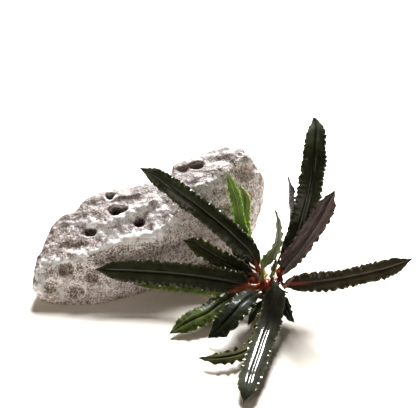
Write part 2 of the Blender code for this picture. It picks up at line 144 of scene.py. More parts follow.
HOLLOWS = {
    "round hole": Hollow((-17.4, 4, 35.3), (2.4, 2.4, 2.8), 2.6, 1.6),
    "back pit": Hollow((-14.8, -3.5, 33.4), (3.6, 3, 3.2), 4.2, 2),
    "back pit tail": Hollow((-11, -3.3, 33.8), (3, 2.2, 2.4), 2.4, 0.8),
    "valley": Hollow((-9, 0, 35.5), (12, 3.6, 4.5), 1.2),
    "middle pit": Hollow((-3.8, -8.6, 30.8), (3.2, 3.2, 3.2), 4.2, 1.6),
    "middle dish": Hollow((-2.5, -9.5, 30.6), (9, 8, 8), 1.4),
    "long pit": Hollow((-25.6, -10.5, 26.3), (4.2, 2.6, 2.6), 3.2, 0.9),
    "brown crease": Hollow((-33, -16, 22.6), (7.5, 3, 3), 1.3),
    "rough hollow": Hollow((-36, -23, 14.8), (5.5, 4, 4), 1.3, 0.8),
    "left hollow": Hollow((-43, -26.8, 7.8), (4.4, 4.4, 4.4), 1.3, 0.4),
    "low hollow": Hollow((-32, -27, 5.6), (5.2, 4.4, 4.2), 1.4, 0.4),
    "front hollow": Hollow((-24.2, -24, 12.2), (4.4, 4.4, 4.4), 1.4, 0.6),
    "left step": Hollow((-34, 2, 31), (4.5, 5, 4), 1.5),
    "back notch": Hollow((-9, 8.5, 36), (5.5, 6, 4), 2.4),
    "top crevice": Hollow((21.5, 12.8, 46.8), (4.5, 2.6, 2.8), 2.4, 1),
    "crevice tail": Hollow((15.5, 11.8, 45.2), (4.5, 2.6, 2.6), 1.5),
    "shoulder notch": Hollow((49.5, 16, 43.5), (3.5, 4, 3.5), 1.6),
    "top stain": Hollow((33.3, 15, 48.4), (4.5, 3.5, 3.5), 0.9),
    "right dish": Hollow((43, 12.5, 43), (6.5, 5, 5), 1.8),
    "side hollow": Hollow((34.3, 2, 30.5), (5.5, 4, 4.5), 2.2),
}
RIDGES = {
    "front ridge": Line(2.8, 0.7, (
        (-44.6, -21.5, 17), (-33.4, -20.5, 18.3), (-21.4, -17.5, 22), (-12.5, -15.8, 25),
        (-2.7, -15.5, 27), (5.7, -14, 28.5))),
    "upper ridge": Line(2.8, 1, (
        (-25, -8, 29), (-17, -9, 30), (-9.2, -6, 32), (-4, -2, 35.4), (2.3, -0.3, 37))),
}

# Where the stone is crusted white, stained brown or coarse and grainy.
WHITE_CRUST = {
    "front ridge": Line(2, 0.95, RIDGES["front ridge"].places),
    "upper ridge": Line(3, 0.8, (
        (-34, -6, 28), (-25, -8, 29.5), (-17, -9.5, 29.5), (-9.2, -6, 32.5), (-3, -3, 35.2))),
    "below the dish": Line(4, 1, (
        (-21, -11.6, 27), (-11.1, -15.3, 26.5), (-5.3, -15.8, 27.4), (1.4, -15.4, 28.2),
        (6.6, -13, 30.3))),
    "dish ring": Line(3, 0.95, (
        (-10, -10, 30.6), (-7, -5, 33), (-1, -3.6, 34.4), (4.4, -7, 33.4), (5, -12, 31))),
    "shoulder": Line(3.6, 0.75, (
        (-5.6, -4.4, 35), (1.1, -2.4, 36.3), (7.8, -5.9, 35), (12.3, -9.8, 31.2))),
    "left end": Line(3, 0.95, ((-45.5, -18.8, 18), (-48.5, -24, 12.4), (-47.5, -28.3, 7.4))),
    "foot": Line(3, 0.3, (
        (-38.1, -29.1, 2.2), (-25.6, -27.6, 3.9), (-16.6, -26.3, 6.9), (-10.1, -23.8, 7.7))),
    "between the low hollows": Line(1.4, 0.7, (
        (-38.4, -25.5, 10), (-38, -27.2, 6.4), (-37.6, -28.6, 3))),
    "hole rim": Line(1, 1, ((-19.5, 2.2, 35.4), (-16.5, 1.4, 35.6), (-14.4, 3.4, 36.2))),
    "lobe top": Line(3.2, 0.4, ((27.9, 13.5, 47.1), (39.3, 17, 49.2), (46.1, 15.3, 44.9))),
    # The lobe sparkle is not crust: its white is a painted sparkling highlight.
    "lobe sparkle": Line(3.6, 0.8, ((22, 1, 40.5), (27.4, 2.8, 41.4), (31.5, 6, 43))),
    "lobe side": Line(4, 0.5, ((49.9, 11.3, 33.7), (48.5, 7.3, 28.2), (45.3, 2.4, 22.1))),
    "low face": Line(5, 0.45, ((18.8, -12.3, 10.4), (25.6, -9.9, 10.8), (38, -7, 10))),
}
BROWN_STAIN = {
    "left patch": Line(3.6, 0.7, ((-41, -10, 24), (-36, -8, 26.4), (-31, -8.5, 27))),
    "crease": Line(2.4, 0.8, ((-41, -14.7, 21.6), (-33, -16, 22.6), (-27.7, -14.9, 23.4))),
    # Under the front ridge the brown is partly stain and partly painted shade.
    "under the front ridge": Line(2.8, 0.7, (
        (-27, -21, 16.5), (-16.5, -19.6, 19.8), (-9.8, -17.6, 22.6), (1.3, -16.4, 23),
        (9.9, -14, 24))),
    "rough hollow": Line(3, 0.9, ((-39, -23, 15), (-33, -22.6, 15.4))),
    "left hollow": Line(2.6, 0.9, ((-43.4, -26.4, 8.4), (-42.4, -26.9, 6.6))),
    "low hollow": Line(2.8, 0.9, ((-33.6, -26.4, 6), (-30.4, -26.5, 5.4))),
    "front hollow": Line(2.6, 0.9, ((-25, -23.6, 12.4), (-23, -23.4, 11.8))),
    "back slope": Line(3.4, 0.6, (
        (-33, -1, 30.4), (-24, 1.6, 34.2), (-10.4, 2.7, 35.2), (-3, 3, 36))),
    "top crevice": Line(1.8, 1, ((17.4, 11.9, 45.6), (21, 12.8, 46.4), (25, 13.4, 47.2))),
    "top stain": Line(2.8, 0.75, ((31, 14.4, 47.8), (35.6, 15.6, 48.6))),
    "side hollow": Line(3, 0.85, ((31, 1.6, 31.5), (35, 2.2, 29.6), (38, 3.4, 28))),
    "behind the tall leaf": Line(3.2, 0.5, ((10, -8, 34), (15, -2, 38.6), (19, 1.5, 40.7))),
    "middle face": Line(4, 0.5, ((3, -15.4, 20), (13, -12.6, 21), (21.2, -10, 21.3))),
}
GRAINY = {
    "under the front ridge": Line(5, 1, (
        (-30, -21, 15), (-16.5, -19.6, 19.8), (-3.2, -18.1, 21.9), (10, -13.3, 21))),
    "left end": Line(3.6, 0.8, ((-46.5, -20, 16.5), (-47, -26, 9))),
    "face": Line(6, 0.8, ((8, -14, 27), (16.7, -9.8, 26.8), (24, -6, 26))),
    "lobe": Line(5.5, 0.7, ((20, 1, 40), (27.4, 2.8, 41.4), (30, -1.6, 29.1))),
}
# The pit colour is brown, and the deep colour is painted shade at the bottom of holes.
STONE_COLOURS = {
    "grey": (285, 230, 220), "warm grey": (185, 135, 114), "white": (850, 820, 850),
    "brown": (110, 77, 56), "speck": (50, 36, 30), "pit": (85, 58, 42), "deep": (20, 12, 8),
}

# Painted light and shade on the stone: faces turned towards this side are painted paler, up to this
# many times, and faces turned away, the upper ones among them, darker.
PAINTED_LIGHT_SIDE = (0.35, -0.7, -0.6)
PAINTED_LIGHT_GAIN = 2.3

# What all leaves share, as in the solids. A petiole's end stays clear of the stem's scars.
PETIOLE_SHARE = 0.22
PETIOLE_LIMITS = (1.1, 2.2)
PETIOLE_FLATNESS = 0.8
OPENING_POWER = 0.8
CLOSING_POWER = 4
THINNING = 1.6
SCAR_REACH = 1.04
STEM_CLEARANCE = 0.4

# How finely a leaf is made, and how much closer its points stand beside the midrib.
POINTS_ACROSS = 33
MIDDLE_STEPS = 0.45
STEP_LENGTH = 0.3

# How a leaf starts inside the stem. The petiole flares over this many times its own width.
ROOT_DEPTH = 3.2
ROOT_STEPS = 8
PETIOLE_FLARE = 0.7
PETIOLE_FLARE_RUN = 2.2

# A blade's thickness, how much thinner its edge is, and its limit as a share of the width.
BLADE_THICKNESS = 0.5
EDGE_THINNING = 0.45
THICKNESS_LIMIT = 0.8

# The midrib: a groove in the upper side, a rib in its place near the petiole, a keel below.
MIDRIB_DEPTH = 0.24
MIDRIB_HALF_WIDTH = 0.5
RIB_HEIGHT = 0.35
RIB_REACH = 1.4
KEEL_HEIGHT = 0.4
KEEL_HALF_WIDTH = 0.6

# Where the crests beside the midrib are, as a share of the half width.
CREST_AT = 0.3

# Ruffles swing the margin up and down, scallops and lobes move it in and out. The fine ruffle
# is a share of the coarse one.
RUFFLE_HEIGHT = 0.45
RUFFLE_STARTS_AT = 0.76
RUFFLE_CURVE = 1.2
FINE_RUFFLE = 0.35
FINE_RUFFLE_LENGTH = 0.52
SCALLOP = 0.09
LOBE_WIDTH = 1.6
LOBE_ROUNDNESS = 0.7
CRINKLE_HEIGHT = 0.12
CRINKLE_LENGTH = 1.5
CRINKLE_INSIDE = 0.08

# How far ruffles drift and how much they grow, and over how many of them.
RUFFLE_DRIFT = Lumps(0.8, 2.2)
RUFFLE_GROWTH = Lumps(1.4, 1.3)
RUFFLE_LIMITS = (0.1, 1.9)

# How long a leaf's tip is, how blunt and how thin.
TIP_RUN = 7
TIP_ROUNDNESS = 0.6
TIP_HALF_WIDTH = 0.08

# How far apart veins are, how far they lean and wander, and the streaks across half a blade.
VEIN_SPACING = 0.8
VEIN_LEAN = 5
VEIN_WANDER = 1.2
STREAKS = 4
STREAK_STRETCH = 0.09

# How long a ruffle is on a leaf's left and right margin.
RUFFLE_LENGTHS = (3.8, 3.8)
OWN_RUFFLE_LENGTHS = {
    "leaf_tall": (4.8, 2.6), "leaf_right": (4, 3.8), "leaf_front_low": (4.6, 5.2),
    "leaf_purple": (4.2, 5), "leaf_over_stone": (3.4, 3.1), "leaf_along_stone": (3.2, 3),
    "leaf_front": (3.5, 3.1), "leaf_slim_upright": (4.6, 3.8), "leaf_edge_on": (3.6, 3.6),
    "bract": (9, 9), "sheath_tip": (9, 9),
}

# Over what share of a leaf the blade opens on its left and right, where the two differ.
OWN_OPENINGS = {"leaf_along_stone": (0.16, 0.05), "leaf_front": (0.09, 0.12)}


class Profile(NamedTuple):
    """How late a blade bends, how high its crests are, how much it ruffles, its groove's width."""

    lateness: float = 1.5
    crest: float = 0.1
    ruffling: float = 1
    groove: float = MIDRIB_HALF_WIDTH


# One leaf is flat beside its midrib, so that light runs along it in two streaks.
OWN_PROFILES = {"leaf_front": Profile(2, 0.012, 0.4, 0.75)}


class Look(NamedTuple):
    """How a leaf is coloured: its upper side between two tones, its underside and its lines.

    The petiole's colour covers the base and runs up the rib, both as a share of the leaf. A
    small low number darkens the blade's foot, and the spread tells how softly tones change.
    """

    deep: tuple
    light: tuple
    under: tuple
    margin: tuple
    midrib: tuple
    petiole: tuple
    rib: float = 0.2
    low: float = 0.7
    base: float = 0.0
    spread: float = 0.2
    gloss: float = 0.38
    shine: float = 0.13
    coat: float = 0.4
    flecks: float = 0.5
    glow: float = 0.0
    slot: str = "dark_leaf"


RED = (140, 20, 9)
ORANGE = (200, 45, 14)
PINK = (260, 70, 50)
DARK = Look(
    (6, 8, 2), (25, 30, 9), (20, 16, 10), (50, 55, 18), (2, 3, 1), ORANGE, rib=0.12, flecks=0.9)
LOOKS = {
    "dark": DARK,
    "dark red": DARK._replace(light=(27, 32, 10), base=0.1, flecks=1.0),
    "dark wet": Look(
        (9, 10, 6), (36, 38, 24), (30, 25, 16), (60, 65, 30), (20, 20, 18), (50, 45, 30), low=1,
        gloss=0.4, shine=0.02, coat=1.0, flecks=0.7),
    "dark low": Look(
        (3, 4, 2), (12, 16, 5), (18, 14, 10), (30, 35, 11), (2, 3, 1), (35, 30, 16), gloss=0.45,
        shine=0.06, coat=0.08, flecks=0.9),
    "edge on": Look(
        (4, 5, 3), (20, 20, 12), (12, 12, 8), (8, 10, 4), (300, 260, 280), (60, 30, 15), rib=0.9,
        flecks=0.3),
    "olive": Look(
        (7, 9, 3), (32, 37, 10), (30, 32, 10), (100, 90, 28), (4, 6, 2), (120, 50, 24), low=0.4,
        spread=0.12, coat=0.15, slot="olive_leaf"),
    "mossy": Look(
        (9, 11, 3), (45, 44, 12), (40, 40, 12), (90, 85, 25), (8, 10, 3), (120, 90, 30), low=0.2,
        gloss=0.55, shine=0.03, coat=0, flecks=0.4, slot="olive_leaf"),
    "leafy": Look(
        (5, 8, 3), (70, 95, 16), (50, 60, 12), (90, 120, 20), (4, 7, 2), (120, 70, 24), low=1,
        spread=0.09, gloss=0.45, shine=0.06, coat=0.1, slot="olive_leaf"),
    "lime": Look(
        (180, 190, 70), (500, 520, 260), (380, 420, 180), (500, 540, 280), (200, 240, 80),
        (300, 300, 80), low=0.3, flecks=0.4, glow=0.2, slot="bright_leaf"),
    # Its pale midrib colour is a painted highlight.
    "bright": Look(
        (50, 85, 14), (220, 300, 60), (140, 200, 30), (260, 340, 80), (400, 450, 250),
        (300, 300, 60), low=0.6, flecks=0.4, glow=0.2, slot="bright_leaf"),
    "yellow": Look(
        (30, 34, 10), (110, 120, 40), (80, 90, 30), (180, 190, 90), (30, 30, 10), (160, 150, 30),
        low=1, glow=0.15, slot="yellow_leaf"),
    "brown": Look(
        (18, 15, 8), (60, 52, 26), (30, 22, 12), (100, 85, 36), (70, 30, 18), PINK, rib=0.26,
        low=0.8, slot="brown_leaf"),
    "curled": Look(
        (8, 7, 3), (35, 30, 10), (30, 24, 10), (60, 50, 18), (12, 9, 4), ORANGE, low=1,
        slot="brown_leaf"),
    "purple": Look(
        (7, 9, 4), (18, 22, 8), (55, 30, 24), (30, 24, 12), (7, 4, 4), RED, rib=0.1, gloss=0.5,
        coat=0.1, flecks=0.15, slot="purple_leaf"),
    "bract": Look(RED, (250, 50, 30), RED, (400, 160, 120), RED, RED, flecks=0.3, slot="rhizome"),
    "sheath": Look(
        (200, 110, 90), (400, 280, 240), (300, 150, 120), (500, 420, 380), (300, 120, 90),
        (300, 100, 60), coat=0, flecks=0.2, low=1, slot="brown_leaf"),
}

# A leaf's wet film, the white highlights painted as glints on its margin, and the light that passes
# through it.
FILM_ROUGHNESS = 0.06
PAINTED_GLINT_COLOUR = (0.85, 0.87, 0.83)
GLOW_COLOUR = (0.5, 1.0, 0.2)
GLOW_DEPTH = 1.2


class Leaf(NamedTuple):
    """One leaf, nearly as in the solids: places along it, blade width, where its upper side
    faces at foot and tip, and its look. Petiole, opens and narrows are shares of its length."""

    places: tuple
    width: float
    faces: tuple
    look: str
    petiole: float = 0.12
    cup: float = -0.05
    ruffle: float = 1.0
    opens: float = 0.24
    narrows: float = 0.5


TOWARDS_VIEWER = (0, -0.8, 0.6)
LEAVES = {
    "leaf_over_stone": Leaf(
        ((50, -24, 14), (47.4, -20.8, 19.5), (43.8, -19, 23.5), (38.9, -17.2, 28), (33.2, -15, 33),
         (22.5, -9.5, 39.5), (12.4, -3.2, 44), (4.3, 2.8, 47), (-3.8, 7.2, 49)),
        9.6, ((-0.3, -0.6, 0.7), (-0.3, -0.6, 0.8)), "dark", petiole=0.05, opens=0.16),
    "leaf_along_stone": Leaf(
        ((48.5, -31, 11.2), (41, -31, 13), (30, -29, 14), (15, -27, 15), (-5, -25.5, 15.7),
         (-23, -24.8, 16.4)),
        10.8, (TOWARDS_VIEWER, TOWARDS_VIEWER), "dark red", petiole=0.05, opens=0.16),
    "leaf_under": Leaf(
        ((48.5, -29.4, 5.3), (40, -26.5, 4.5), (30, -24.5, 5), (14, -23, 6), (3, -23, 7),
         (-6, -25, 7.5)),
        6.5, ((0, -0.5, 0.85), (0, -0.5, 0.85)), "bright", petiole=0.2),
    "leaf_olive": Leaf(
        ((49.4, -26.8, 12.6), (45.5, -25.2, 14.1), (40, -23.9, 16.2), (34, -21.9, 18.8),
         (28, -20.6, 22.2), (22, -20.1, 26.3), (15.6, -20, 29.3)),
        8.4, ((0, -0.7, 0.7), (0.1, -0.6, 0.8)), "olive", petiole=0.06, ruffle=1.4, opens=0.2),
    "leaf_brown": Leaf(
        ((48.8, -23.2, 9.6), (45, -18.9, 14.1), (39.5, -16.6, 19.6), (36.5, -15.2, 24.8),
         (36, -13.4, 28.8)),
        4, ((-0.2, -0.8, 0.5), (0.8, -0.5, 0.3)), "curled", petiole=0.25, cup=0.5),
    "leaf_green_tall": Leaf(
        ((51, -22.8, 12.9), (47.2, -14.8, 18), (44.2, -10.4, 22.5), (42, -8, 27.5),
         (40.6, -6.1, 34), (39.7, -4.5, 39.5), (38.1, -2.5, 43.5), (36.6, -0.5, 47.5),
         (34.7, 1.4, 51)),
        5.2, ((-0.1, -0.9, 0.4), (-0.1, -0.9, 0.4)), "bright", petiole=0.3, cup=0.3, ruffle=1.6,
        narrows=0.35),
    "leaf_green_short": Leaf(
        ((54.6, -22.6, 13.4), (48.6, -13.4, 16.6), (44.3, -7.6, 20.6), (43.4, -5.3, 24.7),
         (43.3, -2.6, 29.2), (43.7, -0.6, 32.2), (43.8, 1.4, 35.2), (42.8, 3.2, 38.3),
         (41.2, 4.5, 41.3)),
        5.6, ((-0.1, -0.9, 0.4), (-0.1, -0.9, 0.4)), "lime", petiole=0.3, cup=0, ruffle=1.6),
    "leaf_slim_upright": Leaf(
        ((51.3, -29.5, 13.6), (50.8, -28.8, 17), (50.9, -29, 20.5), (52.2, -28.4, 24),
         (54.1, -28.2, 27.5), (55.8, -28.2, 31), (56.6, -27.8, 34.5), (56.8, -27.4, 38),
         (56.8, -26.7, 41.5), (56.6, -26, 45), (56.1, -24.7, 47.2), (55.2, -24.3, 49)),
        6.8, ((0.2, -0.9, 0.3), (0.95, -0.3, 0.1)), "yellow", petiole=0.16, cup=0.15, ruffle=0.9,
        narrows=0.3),
    "leaf_slim_short": Leaf(
        ((54.6, -29.8, 16.4), (55.3, -30.1, 20.3), (56.1, -30.4, 23.9), (56.6, -30.6, 27.1)),
        2.8, ((0, -0.8, 0.4), (-0.5, -0.6, 0.6)), "yellow", petiole=0.3, cup=0.3, ruffle=0.7),
    "leaf_edge_on": Leaf(
        ((55.4, -24.6, 13.8), (58.5, -20.2, 18.4), (61.4, -16.6, 23), (62.8, -13, 27.5),
         (63.6, -10.4, 32), (63.5, -9.4, 37), (63, -8.8, 41.5), (62.9, -7.6, 46), (62.5, -6.2, 50),
         (62, -4.3, 53)),
        4.8, ((0.8, -0.5, 0.3), (0.85, -0.5, 0.2)), "edge on", petiole=0.2, cup=0.6, ruffle=0.8),
    "leaf_tall": Leaf(
        ((58.4, -26.8, 14.8), (62, -22.8, 20.6), (65, -19.6, 27), (67.8, -16, 33.5),
         (69.5, -14.1, 41), (71, -12.4, 49.5), (72.2, -9.4, 58), (73, -3.7, 65.5), (74, 4.5, 71),
         (73.2, 11.1, 73.8)),
        10.6, ((0, -0.9, 0.4), (0, -0.8, 0.6)), "dark", petiole=0.05, opens=0.16, narrows=0.55),
    "leaf_purple": Leaf(
        ((58.5, -29.7, 16), (60.3, -27.5, 18.5), (62.7, -26.9, 22.5), (65.3, -26.9, 26.5),
         (67.9, -26.7, 31), (70.4, -26.2, 36), (72.4, -26.1, 40), (74.3, -25.7, 44),
         (76.2, -24.9, 48), (77.5, -24.4, 51.5), (79, -23.5, 54.5), (80.7, -22.3, 57.5)),
        10.8, ((-0.2, 0.9, 0), (-0.3, 0.9, -0.1)), "purple", petiole=0.03, cup=0.05, ruffle=1.2,
        opens=0.2, narrows=0.55),
    "leaf_right": Leaf(
        ((59.6, -29.4, 11.6), (63.1, -29.7, 12.1), (67.4, -29.9, 12.6), (72.6, -30.3, 13.4),
         (81.2, -31, 15.2), (89, -31, 17), (97.5, -31, 19.4), (106, -30.4, 21.9),
         (116, -28.8, 25.7)),
        8.6, ((0, -0.8, 0.6), (0.1, -0.8, 0.6)), "brown", petiole=0.02, cup=0.05, ruffle=1.2,
        opens=0.16),
    "leaf_front": Leaf(
        ((56.5, -32.9, 15), (55.9, -37.7, 14.8), (55, -43.4, 11.8), (53.3, -50, 8.3),
         (50.4, -58.9, 7), (47.5, -69.2, 6.3), (44.7, -78.8, 5.6), (42.6, -87.6, 4.7),
         (41.2, -91.9, 1.2)),
        10, ((-0.08, -0.25, 0.95), (-0.085, -0.3, 0.95)), "dark wet", petiole=0.03, cup=-0.13,
        opens=0.12, narrows=0.6),
    "leaf_front_left": Leaf(
        ((49, -31, 8), (44.2, -29.6, 8), (39.8, -31.6, 7.2), (33.2, -36.1, 6.8), (26.6, -42.1, 5.8),
         (18.8, -46.2, 4.4), (10.2, -50.6, 1.6)),
        9.8, ((-0.2, -0.5, 0.85), (-0.2, -0.4, 0.9)), "leafy"),
    "leaf_front_dark": Leaf(
        ((51.6, -33.4, 9), (45.6, -37.6, 11.4), (42.1, -43, 12.8), (38.8, -47.5, 12.2),
         (32.9, -53, 8.4), (26.9, -54.6, 2.6)),
        10, ((-0.2, -0.5, 0.85), (-0.2, -0.4, 0.9)), "dark low", petiole=0.1),
    "leaf_front_low": Leaf(
        ((55.1, -29.5, 8), (53.1, -36.6, 7), (50.8, -46.2, 5.6), (48.3, -55.7, 4.5),
         (45.6, -61.9, 4.1), (40.4, -66, 4.2), (34, -68, 4.1), (28.7, -68.4, 3.9),
         (22.6, -67.7, 3.6)),
        6.2, ((-0.3, -0.2, 0.9), (0, -0.3, 0.9)), "mossy", petiole=0.25, ruffle=1.5),
    "leaf_front_short": Leaf(
        ((52.6, -33, 6.6), (48.9, -37.5, 5.6), (46.6, -42, 4.6), (44.3, -46.9, 3)),
        4.4, ((-0.2, -0.3, 0.9), (-0.2, -0.3, 0.9)), "yellow", petiole=0.2, ruffle=0.6),
    "leaf_front_right": Leaf(
        ((57, -33.2, 9.4), (58.8, -37, 10.4), (60.3, -40, 9), (62.1, -42.4, 5.6),
         (64.7, -43.4, 1.4)),
        6.4, ((0.4, -0.6, 0.7), (0.8, -0.6, 0.2)), "dark low", petiole=0.1, ruffle=0.7),
    "bract": Leaf(
        ((58.2, -30.6, 9.9), (60.5, -31.6, 9.3), (63.3, -32.6, 9)),
        1.7, (TOWARDS_VIEWER, TOWARDS_VIEWER), "bract", petiole=0.1, cup=0.2, ruffle=0),
    "sheath_tip": Leaf(
        ((60, -31.2, 13.2), (62, -32.4, 15.2), (64, -32.3, 17.7), (65.4, -32.2, 21.1)),
        1.3, (TOWARDS_VIEWER, TOWARDS_VIEWER), "sheath", petiole=0.1, cup=0.3, ruffle=0),
}

# The rhizome's places and radii, from beside the stone to its growing end.
RHIZOME = (
    ((26, -12.8, 4.8), 1.3), ((32, -11.8, 5.6), 2.1), ((38.5, -12.2, 6.6), 2.5),
    ((44.5, -18, 7.8), 2.8), ((48.6, -24.4, 9.2), 3), ((51.4, -28.4, 10.4), 3.4),
    ((54.2, -30.2, 11.5), 3.7), ((57, -29.5, 13.2), 3), ((58.8, -29, 14.3), 2),
)
RHIZOME_SIDES = 64
RHIZOME_STATIONS = 240
RHIZOME_LUMPS = Lumps(0.06, 2.6, 2)
RHIZOME_COLOURS = ((120, 14, 7), (280, 45, 14))

# Its ring scars. Their width is a share of their spacing.
SCAR_SPACING = 2.3
SCAR_WIDTH = 0.13
SCAR_DEPTH = 0.16
SCAR_WANDER = 0.7
SCAR_SLANT = 0.8
SCAR_COLOUR = (45, 12, 8)


def run_along(points):
    """How far along a line each of its points is."""
    return np.concatenate([[0], np.cumsum(np.linalg.norm(np.diff(points, axis=0), axis=1))])


def smooth_curve(places, count):
    """Evenly spaced points along a smooth curve through the places, and the curve's length."""
    places = np.array(places, float)
    padded = np.vstack([2 * places[0] - places[1], places, 2 * places[-1] - places[-2]])
    steps = np.linspace(0, 1, CURVE_STEPS, endpoint=False)[:, None]
    parts = []
    for before, start, end, after in zip(padded, padded[1:], padded[2:], padded[3:]):
        parts.append(
            0.5 * (2 * start + (end - before) * steps
                   + (2 * before - 5 * start + 4 * end - after) * steps**2
                   + (3 * start - before - 3 * end + after) * steps**3)
        )
    dense = np.vstack(parts + [places[-1:]])
    run = run_along(dense)
    wanted = np.linspace(0, run[-1], count)
    points = np.column_stack([np.interp(wanted, run, dense[:, axis]) for axis in range(3)])
    return points, run[-1]


def unit(rows):
    return rows / np.linalg.norm(rows, axis=1)[:, None]


def eased(values):
    values = np.clip(values, 0, 1)
    return values * values * (3 - 2 * values)


def noise_at(points, spacing, octaves=1):
    """Smooth noise between about -1 and 1 at each point, with lumps this far apart."""
    if octaves == 1:
        return np.array([noise.noise(Vector(point) / spacing) for point in points])
    return np.array([noise.fractal(Vector(point) / spacing, 1, 2, octaves) for point in points])


def lumps_at(points, lumps):
    return lumps.height * noise_at(points, lumps.spacing, lumps.octaves)


def distance_to_line(points, places):
    """How far each point is from the line through some places."""
    nearest = np.full(len(points), np.inf)
    for start, end in zip(np.array(places, float), np.array(places[1:], float)):
        run = end - start
        share = np.clip((points - start) @ run / (run @ run), 0, 1)
        away = np.linalg.norm(start + share[:, None] * run - points, axis=1)
        nearest = np.minimum(nearest, away)
    return nearest


def line_strength(points, line):
    """How strongly a line marks each point."""
    away = distance_to_line(points, line.places) / line.half_width
    return line.strength * np.exp(-away * away)


def line_mask(points, lines):
    """How strongly any of these lines marks each point, from 0 to 1."""
    return np.max([line_strength(points, line) for line in lines.values()], axis=0)


def colour_of(thousandths):
    return tuple(part / 1000 for part in thousandths)


def add_object(name, data):
    """A new object in the scene."""
    added = bpy.data.objects.new(name, data)
    bpy.context.scene.collection.objects.link(added)
    return added


def set_values(mesh, name, values):
    """Keeps one or three numbers for each point of a mesh, for its material."""
    kind, field = ("FLOAT", "value") if values.ndim == 1 else ("FLOAT_VECTOR", "vector")
    kept = mesh.attributes.new(name, kind, "POINT").data
    kept.foreach_set(field, values.astype(np.float32).ravel())


def add_piece(name, mesh, surface, node, slot):
    """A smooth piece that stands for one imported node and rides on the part's only body."""
    mesh.materials.append(surface)
    mesh.shade_smooth()
    piece = add_object(name, mesh)
    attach(piece, "root")
    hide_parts(node)


class Graph:
    """A material under construction, with short ways to add its nodes."""

    def __init__(self, name):
        self.material = bpy.data.materials.new(name)
        self.material.use_nodes = True
        self.tree = self.material.node_tree
        self.shader = self.tree.nodes["Principled BSDF"]
        self.place = self.tree.nodes.new("ShaderNodeTexCoord").outputs["Object"]

    def feed(self, socket, value):
        """Links a socket, or sets its value."""
        if isinstance(value, bpy.types.NodeSocket):
            self.tree.links.new(value, socket)
        elif isinstance(value, tuple):
            socket.default_value = value + (1,) * (len(socket.default_value) - len(value))
        else:
            socket.default_value = value

    def surface(self, values):
        """Links or sets the shader's own sockets of these names."""
        for name, value in values.items():
            self.feed(self.shader.inputs[name], value)

    def add(self, kind, inputs, **settings):
        """The outputs of a new node, its settings made and its inputs linked or set."""
        node = self.tree.nodes.new("ShaderNode" + kind)
        for name, value in settings.items():
            setattr(node, name, value)
        for name, value in inputs.items():
            self.feed(node.inputs[name], value)
        return node.outputs

    def math(self, operation, first, second=0.0, clamp=False):
        return self.add("Math", {0: first, 1: second}, operation=operation, use_clamp=clamp)[0]

    def plus(self, first, second, clamp=False):
        return self.math("ADD", first, second, clamp)

    def times(self, first, second):
        return self.math("MULTIPLY", first, second)

    def swing(self, value, size):
        """How far some noise is from its middle of a half, times a size."""
        return self.times(self.math("SUBTRACT", value, 0.5), size)

    def ramp(self, value, low, high, start=0.0, end=1.0):
        """Eases from start to end while the value goes from low to high."""
        inputs = {"Value": value, "From Min": low, "From Max": high, "To Min": start, "To Max": end}
        return self.add("MapRange", inputs, interpolation_type="SMOOTHSTEP")["Result"]

    def mix(self, factor, first, second):
        """One colour changing into another."""
        return self.add("Mix", {0: factor, 6: first, 7: second}, data_type="RGBA")[2]

    def scaled(self, colour, factor):
        """A colour made lighter or darker, but never brighter than white paper."""
        colour = self.add("VectorMath", {0: colour, "Scale": factor}, operation="SCALE")[0]
        return self.add("VectorMath", {0: colour, 1: PAPER_WHITE}, operation="MINIMUM")[0]

    def noise(self, size, detail, roughness, place=None):
        """Noise from 0 to 1 with features of this size in millimetres."""
        inputs = {"Scale": 1 / (size * MM), "Detail": detail, "Roughness": roughness}
        return self.add("TexNoise", {**inputs, "Vector": place or self.place})["Fac"]

    def flat_place(self, x, y):
        return self.add("CombineXYZ", {0: x, 1: y})[0]

    def value(self, name):
        """The number that the mesh keeps under this name at each point."""
        return self.add("Attribute", {}, attribute_name=name)["Fac"]

    def values(self, name):
        """The three numbers that the mesh keeps under this name at each point."""
        kept = self.add("Attribute", {}, attribute_name=name)["Vector"]
        return tuple(self.add("SeparateXYZ", {0: kept}))

    def bump(self, height, depth, strength):
        """Dents the surface by up to this depth in millimetres, without moving it."""
        inputs = {"Height": height, "Distance": depth * MM, "Strength": strength}
        self.surface({"Normal": self.add("Bump", inputs)["Normal"]})


